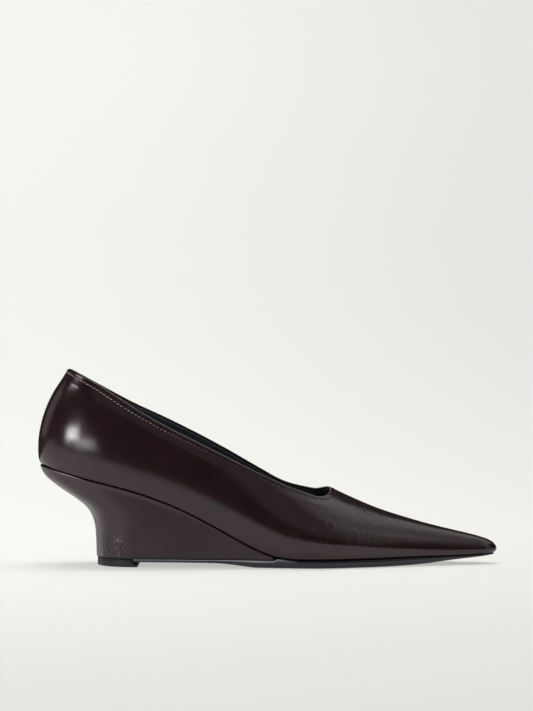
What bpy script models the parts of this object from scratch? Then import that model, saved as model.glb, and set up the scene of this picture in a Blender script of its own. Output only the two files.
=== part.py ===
"""Pointed wedge pump for a right foot, worked out from the shape of its last.

X runs from heel to toe, Y from the outer side of the foot to its inner side, Z up.
Every length is in millimetres until a mesh is made.
Table lengths are shares of the named size that stands beside them.
"""

import bpy
import numpy as np

MM = 0.001

# Driving sizes of the last
SHOE_LENGTH = 258.0
BALL_WIDTH = 71.0
SEAT_HEIGHT = 55.4
COLLAR_HEIGHT = 109.2
COLLAR_LEAN = 16.6
NOSE_SLOPE = 9.0
THROAT_ROUNDING = 10.0
HEEL_ROUNDING = 46.0
TOE_ROUNDING = 9.0
TOE_OFFSET = 4.5
NOSE_REACH = 30.0

# Places along the shoe, from its length
THROAT_STATION = 0.638 * SHOE_LENGTH
LEAN_REACH = 0.45 * SHOE_LENGTH
WEDGE_TIP_STATION = 0.5116 * SHOE_LENGTH
SOLE_REAR_STATION = 0.2093 * SHOE_LENGTH
BASE_SETTLES = 0.3682 * SHOE_LENGTH
LIFT_FRONT = 0.2202 * SHOE_LENGTH

# How curves bend: plain numbers, not lengths
ROUND_POWER = 2.15
AXIS_POWER = 3
FADE_POWER = 2
SHOULDER_SHARE = 0.36
LIP_SHARE = 0.07

# Leather, clearances and the pieces below the foot
WALL = 2.0
CLEAR = 0.3
COLLAR_BEAD = 0.5
INSOLE_THICKNESS = 2.0
LIP = 0.6
WEDGE_SETBACK = 29.8
WEDGE_DRAFT = 1.4
WEDGE_BASE_BACK = 4.95
WEDGE_BASE_FRONT = 4.45
SOLE_MARGIN = 0.7
SOLE_UNDERCUT = 0.9
TIP_RAMP = 3.0
LIFT_INSET = 0.6
LIFT_WIDTH = 47.5
LAP_LENGTH = 2.5

# Facets between the named stations, up the skin, across the plates and down the wedge
HEEL_FACETS = 11
SEAT_FACETS = 2
WAIST_FACETS = 12
JOINT_FACETS = 4
THROAT_FACETS = 7
VAMP_FACETS = 12
TOE_FACETS = 6
SKIN_ROWS = 15
PLATE_COLUMNS = 4
WEDGE_DEPTHS = (0.0, 0.03, 0.08, 0.14, 0.22, 0.31, 0.39, 0.45, 0.53, 0.64, 0.8, 1.0)

# Corners this close are one corner, and how often the topline is halved in on
SAME_CORNER = 0.0005
HALVING_COUNT = 40

# One row per section of the last.
# station and every other column but roll and flat is a share of a named size:
# station of SHOE_LENGTH, seat of SEAT_HEIGHT, crown of COLLAR_HEIGHT, the rest of BALL_WIDTH.
# outer and inner are the feather line on each side, ridge is where the two sides join,
# swell is how far the side leans out, roll is the slope across the ridge,
# flat is how far the top keeps its height on the way to the side.
LAST_COLUMNS = ("station", "seat", "outer", "inner", "crown", "ridge", "roll", "swell", "flat")
LAST_ROWS = (
    (0.00, 1.020, 0.352, 0.352, 1.38, 0.000, 0.00, 0.150, 0.76),
    (0.10, 0.888, 0.356, 0.352, 1.29, 0.000, 0.00, 0.150, 0.78),
    (0.20, 0.770, 0.358, 0.338, 1.15, 0.000, 0.00, 0.140, 0.80),
    (0.30, 0.604, 0.350, 0.300, 0.99, -0.01, 0.00, 0.130, 0.80),
    (0.40, 0.365, 0.346, 0.272, 0.82, -0.03, 0.04, 0.135, 0.76),
    (0.47, 0.187, 0.378, 0.296, 0.68, -0.05, 0.10, 0.155, 0.68),
    (0.52, 0.101, 0.420, 0.345, 0.575, -0.06, 0.16, 0.175, 0.62),
    (0.56, 0.080, 0.448, 0.395, 0.500, -0.07, 0.22, 0.185, 0.58),
    (0.60, 0.079, 0.462, 0.450, 0.435, -0.08, 0.26, 0.200, 0.57),
    (0.64, 0.079, 0.444, 0.495, 0.382, -0.08, 0.28, 0.190, 0.56),
    (0.69, 0.079, 0.380, 0.512, 0.328, -0.06, 0.24, 0.165, 0.56),
    (0.74, 0.079, 0.310, 0.472, 0.281, -0.03, 0.18, 0.130, 0.56),
    (0.80, 0.088, 0.232, 0.388, 0.238, 0.000, 0.12, 0.095, 0.58),
    (0.86, 0.091, 0.160, 0.293, 0.199, 0.025, 0.06, 0.070, 0.60),
    (0.93, 0.096, 0.080, 0.190, 0.162, 0.050, 0.02, 0.055, 0.62),
    (1.00, 0.114, 0.007, 0.118, 0.137, 0.0634, 0.00, 0.045, 0.64),
)

# How far the back of the counter stands in, by height above the seat.
# height is a share of the collar's height above the seat, inset of COLLAR_LEAN.
BACK_COLUMNS = ("height", "inset")
BACK_ROWS = (
    (0.00, 0.157),
    (0.02, 0.095),
    (0.06, 0.035),
    (0.12, 0.004),
    (0.18, 0.000),
    (0.27, 0.012),
    (0.43, 0.095),
    (0.60, 0.265),
    (0.76, 0.510),
    (0.92, 0.845),
    (1.00, 1.000),
)

# How far the nose stands back, by height from feather to crown, as a share of NOSE_SLOPE.
NOSE_COLUMNS = ("height", "inset")
NOSE_ROWS = (
    (0.00, 0.140),
    (0.10, 0.035),
    (0.20, 0.000),
    (0.35, 0.020),
    (0.56, 0.145),
    (0.76, 0.400),
    (0.89, 0.670),
    (1.00, 1.000),
)

# The topline. ahead is a share of the length ahead of the back of the collar,
# both heights are shares of COLLAR_HEIGHT.
TOPLINE_COLUMNS = ("ahead", "outer", "inner")
TOPLINE_ROWS = (
    (0.0020, 1.000, 1.000),
    (0.0275, 0.975, 0.966),
    (0.0700, 0.930, 0.913),
    (0.1450, 0.824, 0.825),
    (0.2200, 0.725, 0.750),
    (0.2945, 0.641, 0.670),
    (0.3695, 0.557, 0.582),
    (0.4440, 0.475, 0.488),
    (0.5085, 0.411, 0.413),
    (0.5620, 0.370, 0.386),
    (0.6150, 0.328, 0.368),
)

# The back of the wedge. depth runs down the wedge, inset is a share of WEDGE_SETBACK.
WEDGE_COLUMNS = ("depth", "inset")
WEDGE_ROWS = (
    (0.00, 0.000),
    (0.05, 0.006),
    (0.11, 0.062),
    (0.20, 0.230),
    (0.30, 0.466),
    (0.38, 0.668),
    (0.44, 0.796),
    (0.52, 0.904),
    (0.62, 0.968),
    (0.72, 0.993),
    (1.00, 1.000),
)

# The underside of the sole. station is a share of SHOE_LENGTH, rise a share of SEAT_HEIGHT.
TREAD_COLUMNS = ("station", "rise")
TREAD_ROWS = (
    (0.210, 0.0520),
    (0.350, 0.0440),
    (0.390, 0.0400),
    (0.430, 0.0235),
    (0.461, 0.0055),
    (0.475, 0.0000),
    (0.725, 0.0000),
    (0.770, 0.0040),
    (0.810, 0.0110),
    (0.850, 0.0240),
    (0.880, 0.0410),
    (0.960, 0.0750),
    (1.000, 0.0930),
)


def slopes(x, y):
    """Slopes at the rows that keep a curve from passing the values of its rows."""
    step = np.diff(x)
    rate = np.diff(y) / step
    out = np.zeros(len(x))
    for k in range(1, len(x) - 1):
        before, after = rate[k - 1], rate[k]
        if before * after <= 0:
            continue
        first = 2 * step[k] + step[k - 1]
        second = step[k] + 2 * step[k - 1]
        out[k] = (first + second) / (first / before + second / after)
    out[0] = rate[0]
    out[-1] = rate[-1]
    return out


def reader(columns, rows):
    """A function that reads one named column of a table at any place along its first column."""
    table = np.array(rows, float)
    x = table[:, 0]
    bent = {name: slopes(x, table[:, k]) for k, name in enumerate(columns) if k}
    values = {name: table[:, k] for k, name in enumerate(columns) if k}

    def read(name, place):
        place = min(max(place, x[0]), x[-1])
        k = min(int(np.searchsorted(x, place, side="right")) - 1, len(x) - 2)
        step = x[k + 1] - x[k]
        u = (place - x[k]) / step
        y = values[name]
        d = bent[name]
        return (
            y[k] * (1 + 2 * u) * (1 - u) ** 2
            + d[k] * step * u * (1 - u) ** 2
            + y[k + 1] * u * u * (3 - 2 * u)
            + d[k + 1] * step * u * u * (u - 1)
        )

    return read


last = reader(LAST_COLUMNS, LAST_ROWS)
back = reader(BACK_COLUMNS, BACK_ROWS)
nose = reader(NOSE_COLUMNS, NOSE_ROWS)
topline = reader(TOPLINE_COLUMNS, TOPLINE_ROWS)
wedge_back = reader(WEDGE_COLUMNS, WEDGE_ROWS)
tread = reader(TREAD_COLUMNS, TREAD_ROWS)

OUTER = -1
INNER = 1
SIDES = (OUTER, INNER)
SIDE_NAME = {OUTER: "outer", INNER: "inner"}


def rounding(station):
    """1 along the shoe, falling to 0 on a round curve at the heel and at the toe."""
    if station < HEEL_ROUNDING:
        u = 1 - station / HEEL_ROUNDING
    elif station > SHOE_LENGTH - TOE_ROUNDING:
        u = (station - SHOE_LENGTH + TOE_ROUNDING) / TOE_ROUNDING
    else:
        return 1.0
    return max(1 - u**ROUND_POWER, 0.0) ** (1 / ROUND_POWER)


def axis(station):
    """The line on which both sides meet at the heel and at the toe."""
    return TOE_OFFSET * (station / SHOE_LENGTH) ** AXIS_POWER


def lean_fade(station):
    """How much of the lean of the back is left this far along."""
    return max(1 - station / LEAN_REACH, 0.0) ** FADE_POWER


def nose_fade(station):
    return max(1 - (SHOE_LENGTH - station) / NOSE_REACH, 0.0) ** FADE_POWER


def seat_height(x):
    """Height of the feather line."""
    return SEAT_HEIGHT * last("seat", x / SHOE_LENGTH)


def place(station, z, crown):
    """How far forward a point of the last stands, from its station and its height."""
    low = seat_height(station)
    up = (z - SEAT_HEIGHT) / (COLLAR_HEIGHT - SEAT_HEIGHT)
    tip = (z - low) / (crown - low)
    lean = COLLAR_LEAN * back("inset", up) * lean_fade(station)
    return station + lean - NOSE_SLOPE * nose("inset", tip) * nose_fade(station)


def feather(station, side):
    """The point on the feather line, where the upper meets what is under it."""
    share = station / SHOE_LENGTH
    x = place(station, SEAT_HEIGHT * last("seat", share), COLLAR_HEIGHT * last("crown", share))
    middle = axis(station)
    y = side * BALL_WIDTH * last(SIDE_NAME[side], share)
    return x, middle + (y - middle) * rounding(station)


def side_curve(station, side):
    """The four control points, as (across, up), of one side of a section of the last."""
    share = station / SHOE_LENGTH
    x, foot = feather(station, side)
    low = seat_height(x)
    middle = axis(station)
    shrink = rounding(station)
    crown = COLLAR_HEIGHT * last("crown", share)
    ridge = middle + (BALL_WIDTH * last("ridge", share) - middle) * shrink
    reach = last("flat", share) * (foot - ridge)
    swell = side * BALL_WIDTH * last("swell", share) * shrink
    return np.array(
        (
            (foot, low),
            (foot + swell, low + SHOULDER_SHARE * (crown - low)),
            (ridge + reach, crown + last("roll", share) * reach),
            (ridge, crown),
        )
    )


def bend(points, t):
    """A point on the cubic curve of four control points."""
    u = 1 - t
    weights = np.array((u**3, 3 * u * u * t, 3 * u * t * t, t**3))
    return weights @ points


def on_last(station, side, t):
    """A point on the outside of the upper: t is 0 at the feather line and 1 on the ridge."""
    curve = side_curve(station, side)
    y, z = bend(curve, t)
    return np.array((place(station, z, curve[3][1]), y, z))


def topline_height(x, side):
    ahead = (x - COLLAR_LEAN) / (SHOE_LENGTH - COLLAR_LEAN)
    return COLLAR_HEIGHT * topline(SIDE_NAME[side], ahead)


def top_share(station, side):
    """The t at which the topline cuts a section. It is 1 from the throat forward."""
    if station >= THROAT_STATION:
        return 1.0
    low, high = 0.0, 1.0
    for _ in range(HALVING_COUNT):
        t = (low + high) / 2
        x, _, z = on_last(station, side, t)
        if z < topline_height(x, side):
            low = t
        else:
            high = t
    u = max(1 - (THROAT_STATION - station) / THROAT_ROUNDING, 0.0)
    return 1 - (1 - t) * max(1 - u**ROUND_POWER, 0.0) ** (1 / ROUND_POWER)


def crowded(start, end, count, at_start, at_end):
    """Stations from start to end, closer together at an end that curves round."""
    u = np.linspace(0, 1, count + 1)[:-1]
    if at_start:
        u = 1 - np.cos(np.pi / 2 * u)
    elif at_end:
        u = np.sin(np.pi / 2 * u)
    return list(start + (end - start) * u)


STATIONS = (
    crowded(0.0, HEEL_ROUNDING, HEEL_FACETS, True, False)
    + crowded(HEEL_ROUNDING, SOLE_REAR_STATION, SEAT_FACETS, False, False)
    + crowded(SOLE_REAR_STATION, WEDGE_TIP_STATION, WAIST_FACETS, False, False)
    + crowded(WEDGE_TIP_STATION, THROAT_STATION - THROAT_ROUNDING, JOINT_FACETS, False, False)
    + crowded(THROAT_STATION - THROAT_ROUNDING, THROAT_STATION, THROAT_FACETS, False, True)
    + crowded(THROAT_STATION, SHOE_LENGTH - TOE_ROUNDING, VAMP_FACETS, False, False)
    + crowded(SHOE_LENGTH - TOE_ROUNDING, SHOE_LENGTH, TOE_FACETS, False, True)
    + [SHOE_LENGTH]
)
THROAT_INDEX = STATIONS.index(THROAT_STATION)
REAR_INDEX = STATIONS.index(SOLE_REAR_STATION)
TIP_INDEX = STATIONS.index(WEDGE_TIP_STATION)


def outline(side, offset):
    """The feather line of one side in plan, moved outward by offset at each station."""
    points = np.array([feather(s, side) for s in STATIONS])
    along = np.empty_like(points)
    along[1:-1] = points[2:] - points[:-2]
    along[0] = (0, side)
    along[-1] = (0, -side)
    along /= np.linalg.norm(along, axis=1)[:, None]
    outward = side * np.stack((-along[:, 1], along[:, 0]), axis=1)
    return points + outward * np.reshape(offset, (-1, 1))


class Body:
    """Corners and faces of one closed piece. Corners that coincide are made once."""

    def __init__(self):
        self.points = []
        self.index = {}
        self.faces = []

    def corner(self, point):
        key = tuple(int(round(c / SAME_CORNER)) for c in point)
        if key not in self.index:
            self.index[key] = len(self.points)
            self.points.append(tuple(float(c) for c in point))
        return self.index[key]

    def face(self, corners):
        kept = [c for k, c in enumerate(corners) if c != corners[k - 1]]
        if len(set(kept)) > 2:
            self.faces.append(kept)

    def ring_walls(self, rings):
        """Joins rings that follow each other, each a list of corner numbers."""
        for one, two in zip(rings[:-1], rings[1:]):
            for k in range(len(one)):
                n = (k + 1) % len(one)
                self.face([one[n], one[k], two[k], two[n]])


def skin_rows(station, side):
    """Points of the outside of the upper at one station, from feather line to topline."""
    top = top_share(station, side)
    return [on_last(station, side, top * k / SKIN_ROWS) for k in range(SKIN_ROWS + 1)]


def upper():
    """One hollow skin of even thickness, open at the top and underneath."""
    body = Body()
    grid = {side: [[body.corner(p) for p in skin_rows(s, side)] for s in STATIONS] for side in SIDES}
    for side in SIDES:
        for one, two in zip(grid[side][:-1], grid[side][1:]):
            for k in range(SKIN_ROWS):
                face = [one[k], two[k], two[k + 1], one[k + 1]]
                body.face(face if side == OUTER else face[::-1])
    outside = np.array(body.points)
    normals = np.zeros_like(outside)
    for face in body.faces:
        corners = outside[face]
        normals[face] += np.cross(corners, np.roll(corners, -1, axis=0)).sum(axis=0)
    normals /= np.linalg.norm(normals, axis=1)[:, None]
    inside = outside - normals * WALL
    for side in SIDES:
        for rows, (x, y) in zip(grid[side], outline(side, -WALL)):
            inside[rows[0]] = (x, y, seat_height(x))
    count = len(outside)
    body.points += [tuple(p) for p in inside]
    body.faces += [[count + c for c in reversed(face)] for face in body.faces]
    for side in SIDES:
        for k in range(len(STATIONS) - 1):
            one = grid[side][k][0]
            two = grid[side][k + 1][0]
            face = [two, one, count + one, count + two]
            body.face(face if side == OUTER else face[::-1])
        joined = []
        for k, rows in enumerate(grid[side][: THROAT_INDEX + 1]):
            edge = rows[-1]
            below = grid[side][k + 1][-1] if k == THROAT_INDEX else rows[-2]
            up = outside[edge] - outside[below]
            bead = (outside[edge] + inside[edge]) / 2 + COLLAR_BEAD * up / np.linalg.norm(up)
            joined.append((edge, body.corner(bead), count + edge))
        for one, two in zip(joined[:-1], joined[1:]):
            for k in range(2):
                face = [one[k], two[k], two[k + 1], one[k + 1]]
                body.face(face if side == OUTER else face[::-1])
    return body


def across(left, right, z):
    """Points from the left corner to the right one, all at one height."""
    return [
        (left[0] + (right[0] - left[0]) * u, left[1] + (right[1] - left[1]) * u, z)
        for u in np.linspace(0, 1, PLATE_COLUMNS + 1)
    ]


def closed_loft(sections, start_closed, end_closed):
    """A body through sections. An end that isn't a single line is closed with a flat strip."""
    body = Body()
    rings = [[body.corner(p) for p in section] for section in sections]
    body.ring_walls(rings)
    for wanted, ring in ((start_closed, rings[0]), (end_closed, rings[-1][::-1])):
        if wanted:
            body.faces.append(ring)
    return body


def insole():
    """The board that the foot stands on, inside the upper."""
    gap = WALL + CLEAR
    outer, inner = (outline(side, -gap) for side in SIDES)
    sections = []
    for left, right in zip(outer, inner):
        low = seat_height(left[0])
        top = across(left, right, low + INSOLE_THICKNESS)
        bottom = across(right, left, low)
        sections.append(top + bottom)
    return closed_loft(sections, False, False)


def wedge_base(x):
    """Height of the underside of the wedge."""
    share = min(max((BASE_SETTLES - x) / (BASE_SETTLES - WEDGE_SETBACK), 0.0), 1.0)
    return WEDGE_BASE_FRONT + (WEDGE_BASE_BACK - WEDGE_BASE_FRONT) * share


def wedge_wall(side):
    """Points down one side of the wedge at each station, from its lip to its base."""
    length = len(STATIONS)
    fade = np.clip(1 - np.array(STATIONS) / WEDGE_TIP_STATION, 0, 1)
    lip = outline(side, np.full(length, LIP))
    body = outline(side, np.zeros(length))
    foot = outline(side, -WEDGE_DRAFT * fade)
    walls = []
    for k in range(TIP_INDEX + 1):
        shift = WEDGE_SETBACK * lean_fade(STATIONS[k])
        top = seat_height(lip[k][0]) - CLEAR
        low = wedge_base(lip[k][0] + shift)
        wall = []
        for depth in WEDGE_DEPTHS:
            rolled = np.sqrt(max(1 - depth / LIP_SHARE, 0.0))
            plan = body[k] + (foot[k] - body[k]) * depth + (lip[k] - body[k]) * rolled
            wall.append((plan[0] + shift * wedge_back("inset", depth), plan[1], top + (low - top) * depth))
        walls.append(wall)
    return walls


def wedge():
    """The covered wedge under the heel and the arch."""
    sections = []
    for outer, inner in zip(wedge_wall(OUTER), wedge_wall(INNER)):
        top = across(outer[0], inner[0], outer[0][2])
        bottom = across(inner[-1], outer[-1], inner[-1][2])
        sections.append(top + inner[1:-1] + bottom + outer[-2:0:-1])
    return closed_loft(sections, False, True)


def sole_top(x):
    """Height of the upper face of the outsole."""
    under_wedge = wedge_base(x) - CLEAR
    share = min(max((x - WEDGE_TIP_STATION) / TIP_RAMP, 0.0), 1.0)
    return under_wedge + (seat_height(x) - CLEAR - under_wedge) * share


def sole_bottom(x):
    """Height of the tread. It is flat under the ball and lifts at the arch and the toe."""
    return SEAT_HEIGHT * tread("rise", x / SHOE_LENGTH)


def outsole():
    """The sole from the front of the heel lift to the toe."""
    fade = np.clip(1 - np.array(STATIONS) / WEDGE_TIP_STATION, 0, 1)
    margin = np.where(fade > 0, LIP - (LIP + WEDGE_DRAFT) * fade, SOLE_MARGIN)
    edges = [outline(side, margin) for side in SIDES]
    feet = [outline(side, margin - SOLE_UNDERCUT) for side in SIDES]
    sections = []
    for k in range(REAR_INDEX, len(STATIONS)):
        left, right = (edge[k] for edge in edges)
        low_left, low_right = (foot[k] for foot in feet)
        top = across(left, right, sole_top(left[0]))
        bottom = across(low_right, low_left, sole_bottom(low_left[0]))
        sections.append(top + bottom)
    return closed_loft(sections, True, False)


def heel_lift():
    """The hard-wearing piece under the back of the wedge, lapped by the outsole."""
    feet = [[wall[-1] for wall in wedge_wall(side)] for side in SIDES]
    lap_wall = LIFT_FRONT - LAP_LENGTH
    back_edge = feet[0][0][0]
    places = []
    for left, right in zip(*feet):
        if left[0] < lap_wall:
            forward = LIFT_INSET * (lap_wall - left[0]) / (lap_wall - back_edge)
            places.append((left[0] + forward, left[1], right[1]))
    _, left_y, right_y = places[-1]
    sections = [lift_section(*where, wedge_base(where[0]) - CLEAR) for where in places]
    sections.append(lift_section(lap_wall, left_y, right_y, wedge_base(lap_wall) - CLEAR))
    for x in (lap_wall, LIFT_FRONT):
        sections.append(lift_section(x, left_y, right_y, sole_bottom(x) - CLEAR))
    return closed_loft(sections, False, True)


def lift_section(x, left_y, right_y, top):
    """One section of the lift, its sides a little inside those of the wedge."""
    share = 1 - 2 * LIFT_INSET / LIFT_WIDTH
    one, two = (x, left_y * share), (x, right_y * share)
    return across(one, two, top) + across(two, one, 0.0)


def material(name, colour, roughness):
    made = bpy.data.materials.new(name)
    made.use_nodes = True
    shader = made.node_tree.nodes["Principled BSDF"]
    shader.inputs["Base Color"].default_value = (*colour, 1.0)
    shader.inputs["Roughness"].default_value = roughness
    return made


PIECES = (
    ("upper", upper, (0.020, 0.010, 0.012), 0.25),
    ("insole", insole, (0.015, 0.017, 0.018), 0.60),
    ("wedge", wedge, (0.022, 0.014, 0.018), 0.35),
    ("outsole", outsole, (0.016, 0.016, 0.022), 0.45),
    ("heel_lift", heel_lift, (0.030, 0.030, 0.031), 0.55),
)


def main():
    for old in list(bpy.data.objects):
        bpy.data.objects.remove(old, do_unlink=True)
    bodies = {name: make() for name, make, _, _ in PIECES}
    every = np.concatenate([np.array(body.points) for body in bodies.values()])
    low, high = every.min(axis=0), every.max(axis=0)
    origin = np.array(((low[0] + high[0]) / 2, (low[1] + high[1]) / 2, low[2]))
    for name, _, colour, roughness in PIECES:
        body = bodies[name]
        mesh = bpy.data.meshes.new(name)
        mesh.from_pydata([tuple((np.array(p) - origin) * MM) for p in body.points], [], body.faces)
        mesh.materials.append(material(name + "_material", colour, roughness))
        mesh.update()
        bpy.context.scene.collection.objects.link(bpy.data.objects.new(name, mesh))


main()
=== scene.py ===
"""Looks of the pointed wedge pump: polished upper, lining, stitching, covered wedge, sole and lift.

X runs from heel to toe, Y from the outer side of the foot to its inner side, Z up.
Shapes are worked out in millimetres, from the same named sizes as the shoe's solids.
"""

import math

import bpy
import numpy as np
from mathutils import Matrix, Vector


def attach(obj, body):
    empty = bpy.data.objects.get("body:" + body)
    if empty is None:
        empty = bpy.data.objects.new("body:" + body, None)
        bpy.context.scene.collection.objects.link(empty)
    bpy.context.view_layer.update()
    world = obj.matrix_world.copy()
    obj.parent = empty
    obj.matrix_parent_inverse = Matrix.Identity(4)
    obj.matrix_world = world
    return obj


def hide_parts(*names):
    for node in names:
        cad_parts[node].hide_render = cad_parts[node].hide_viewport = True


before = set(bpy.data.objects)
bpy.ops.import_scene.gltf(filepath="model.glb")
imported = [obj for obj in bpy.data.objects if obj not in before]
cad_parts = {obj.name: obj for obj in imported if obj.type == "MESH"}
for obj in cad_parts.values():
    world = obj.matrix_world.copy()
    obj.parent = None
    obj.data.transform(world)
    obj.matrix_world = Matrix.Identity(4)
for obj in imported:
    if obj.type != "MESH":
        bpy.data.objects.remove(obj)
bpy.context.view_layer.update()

MM = 0.001

# Driving sizes of the last
SHOE_LENGTH = 258.0
BALL_WIDTH = 71.0
SEAT_HEIGHT = 55.4
COLLAR_HEIGHT = 109.2
COLLAR_LEAN = 16.6
NOSE_SLOPE = 9.0
THROAT_STATION = 0.638 * SHOE_LENGTH
THROAT_ROUNDING = 10.0
HEEL_ROUNDING = 46.0
TOE_ROUNDING = 9.0
TOE_OFFSET = 4.5
LEAN_REACH = 0.45 * SHOE_LENGTH
NOSE_REACH = 30.0
ROUND_POWER = 2.15
SHOULDER = 0.36
CENTRE_ACROSS = 1.006

# Leather, clearances and the pieces below the foot
WALL = 2.0
LEATHER = 1.25
CLEAR = 0.3
INSOLE_THICKNESS = 2.0
LIP = 0.6
LIP_DEPTH = 0.07
WEDGE_SETBACK = 29.8
WEDGE_DRAFT = 1.4
WEDGE_TIP_STATION = 0.5116 * SHOE_LENGTH
WEDGE_BASE_BACK = 4.95
WEDGE_BASE_FRONT = 4.45
BASE_SETTLES = 0.3682 * SHOE_LENGTH
SOLE_REAR_STATION = 0.2093 * SHOE_LENGTH
SOLE_MARGIN = 0.7
TIP_RAMP = 3.0
LIFT_FRONT = 0.2202 * SHOE_LENGTH
LIFT_INSET = 0.6
LIFT_WIDTH = 47.5
LAP_LENGTH = 2.5

# One row per section of the last, as shares of the named sizes
LAST_COLUMNS = ("station", "seat", "outer", "inner", "crown", "ridge", "roll", "swell", "flat")
LAST_ROWS = (
    (0.00, 1.020, 0.352, 0.352, 1.38, 0.000, 0.00, 0.150, 0.76),
    (0.10, 0.888, 0.356, 0.352, 1.29, 0.000, 0.00, 0.150, 0.78),
    (0.20, 0.770, 0.358, 0.338, 1.15, 0.000, 0.00, 0.140, 0.80),
    (0.30, 0.604, 0.350, 0.300, 0.99, -0.01, 0.00, 0.130, 0.80),
    (0.40, 0.365, 0.346, 0.272, 0.82, -0.03, 0.04, 0.135, 0.76),
    (0.47, 0.187, 0.378, 0.296, 0.68, -0.05, 0.10, 0.155, 0.68),
    (0.52, 0.101, 0.420, 0.345, 0.575, -0.06, 0.16, 0.175, 0.62),
    (0.56, 0.080, 0.448, 0.395, 0.500, -0.07, 0.22, 0.185, 0.58),
    (0.60, 0.079, 0.462, 0.450, 0.435, -0.08, 0.26, 0.200, 0.57),
    (0.64, 0.079, 0.444, 0.495, 0.382, -0.08, 0.28, 0.190, 0.56),
    (0.69, 0.079, 0.380, 0.512, 0.328, -0.06, 0.24, 0.165, 0.56),
    (0.74, 0.079, 0.310, 0.472, 0.281, -0.03, 0.18, 0.130, 0.56),
    (0.80, 0.088, 0.232, 0.388, 0.238, 0.000, 0.12, 0.095, 0.58),
    (0.86, 0.091, 0.160, 0.293, 0.199, 0.025, 0.06, 0.070, 0.60),
    (0.93, 0.096, 0.080, 0.190, 0.162, 0.050, 0.02, 0.055, 0.62),
    (1.00, 0.114, 0.007, 0.118, 0.137, 0.0634, 0.00, 0.045, 0.64),
)
BACK_COLUMNS = ("height", "inset")
BACK_ROWS = (
    (0.00, 0.157), (0.02, 0.095), (0.06, 0.035), (0.12, 0.004), (0.18, 0.000), (0.27, 0.012),
    (0.43, 0.095), (0.60, 0.265), (0.76, 0.510), (0.92, 0.845), (1.00, 1.000),
)
NOSE_COLUMNS = ("height", "inset")
NOSE_ROWS = (
    (0.00, 0.140), (0.10, 0.035), (0.20, 0.000), (0.35, 0.020), (0.56, 0.145), (0.76, 0.400),
    (0.89, 0.670), (1.00, 1.000),
)
TOPLINE_COLUMNS = ("ahead", "outer", "inner")
TOPLINE_ROWS = (
    (0.0020, 1.000, 1.000),
    (0.0275, 0.975, 0.966),
    (0.0700, 0.930, 0.913),
    (0.1450, 0.824, 0.825),
    (0.2200, 0.725, 0.750),
    (0.2945, 0.641, 0.670),
    (0.3695, 0.557, 0.582),
    (0.4440, 0.475, 0.488),
    (0.5085, 0.411, 0.413),
    (0.5620, 0.370, 0.386),
    (0.6150, 0.328, 0.368),
)
WEDGE_COLUMNS = ("depth", "inset")
WEDGE_ROWS = (
    (0.00, 0.000), (0.05, 0.006), (0.11, 0.062), (0.20, 0.230), (0.30, 0.466), (0.38, 0.668),
    (0.44, 0.796), (0.52, 0.904), (0.62, 0.968), (0.72, 0.993), (1.00, 1.000),
)
# Soft creases where the foot bends the vamp, in millimetres: a trough between two low ridges.
# They run up the side from low to high, and lean forward by lean for each millimetre of height.
CREASES_END = 0.755 * SHOE_LENGTH
CREASE_COLUMNS = ("station", "low", "high", "lean", "width", "depth")
OUTER_CREASE_ROWS = (
    (150.5, 13.0, 25.0, 0.22, 0.95, 0.045),
    (153.8, 11.0, 29.0, 0.18, 0.80, 0.060),
    (156.4, 14.0, 33.0, 0.16, 1.05, 0.080),
    (158.7, 10.5, 24.0, 0.20, 0.75, 0.065),
    (161.2, 13.0, 34.0, 0.12, 1.10, 0.095),
    (163.6, 11.5, 27.0, 0.16, 0.80, 0.070),
    (166.1, 15.0, 34.5, 0.08, 0.95, 0.085),
    (168.9, 12.0, 26.0, 0.12, 0.85, 0.065),
    (171.8, 14.0, 31.0, 0.05, 1.05, 0.075),
    (175.0, 12.5, 24.0, 0.10, 0.80, 0.050),
    (178.6, 14.5, 28.0, 0.03, 1.00, 0.060),
    (182.9, 13.0, 23.0, 0.06, 0.90, 0.040),
)
INNER_CREASE_ROWS = (
    (154.0, 12.0, 27.0, 0.18, 0.95, 0.060),
    (158.5, 13.0, 31.0, 0.14, 1.05, 0.080),
    (162.8, 11.0, 26.0, 0.16, 0.85, 0.070),
    (167.0, 14.0, 32.0, 0.08, 1.05, 0.085),
    (171.9, 12.0, 27.0, 0.10, 0.90, 0.060),
    (177.2, 13.5, 25.0, 0.05, 0.95, 0.050),
)
TREAD_COLUMNS = ("station", "rise")
TREAD_ROWS = (
    (0.210, 0.0520), (0.350, 0.0440), (0.390, 0.0400), (0.430, 0.0235), (0.461, 0.0055),
    (0.475, 0.0000), (0.725, 0.0000), (0.770, 0.0040), (0.810, 0.0110), (0.850, 0.0240),
    (0.880, 0.0410), (0.960, 0.0750), (1.000, 0.0930),
)

OUTER = -1
INNER = 1
SIDES = (OUTER, INNER)
SIDE_NAME = {OUTER: "outer", INNER: "inner"}


def part_of_one(value):
    """The value, kept between 0 and 1."""
    return np.clip(value, 0, 1)


def slopes(x, y):
    """Slopes at the rows that keep a curve from passing the values of its rows."""
    step = np.diff(x)
    rate = np.diff(y) / step
    out = np.zeros(len(x))
    for k in range(1, len(x) - 1):
        before, after = rate[k - 1], rate[k]
        if before * after <= 0:
            continue
        first = 2 * step[k] + step[k - 1]
        second = step[k] + 2 * step[k - 1]
        out[k] = (first + second) / (first / before + second / after)
    out[0] = rate[0]
    out[-1] = rate[-1]
    return out


READ_STEPS = 1201


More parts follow.
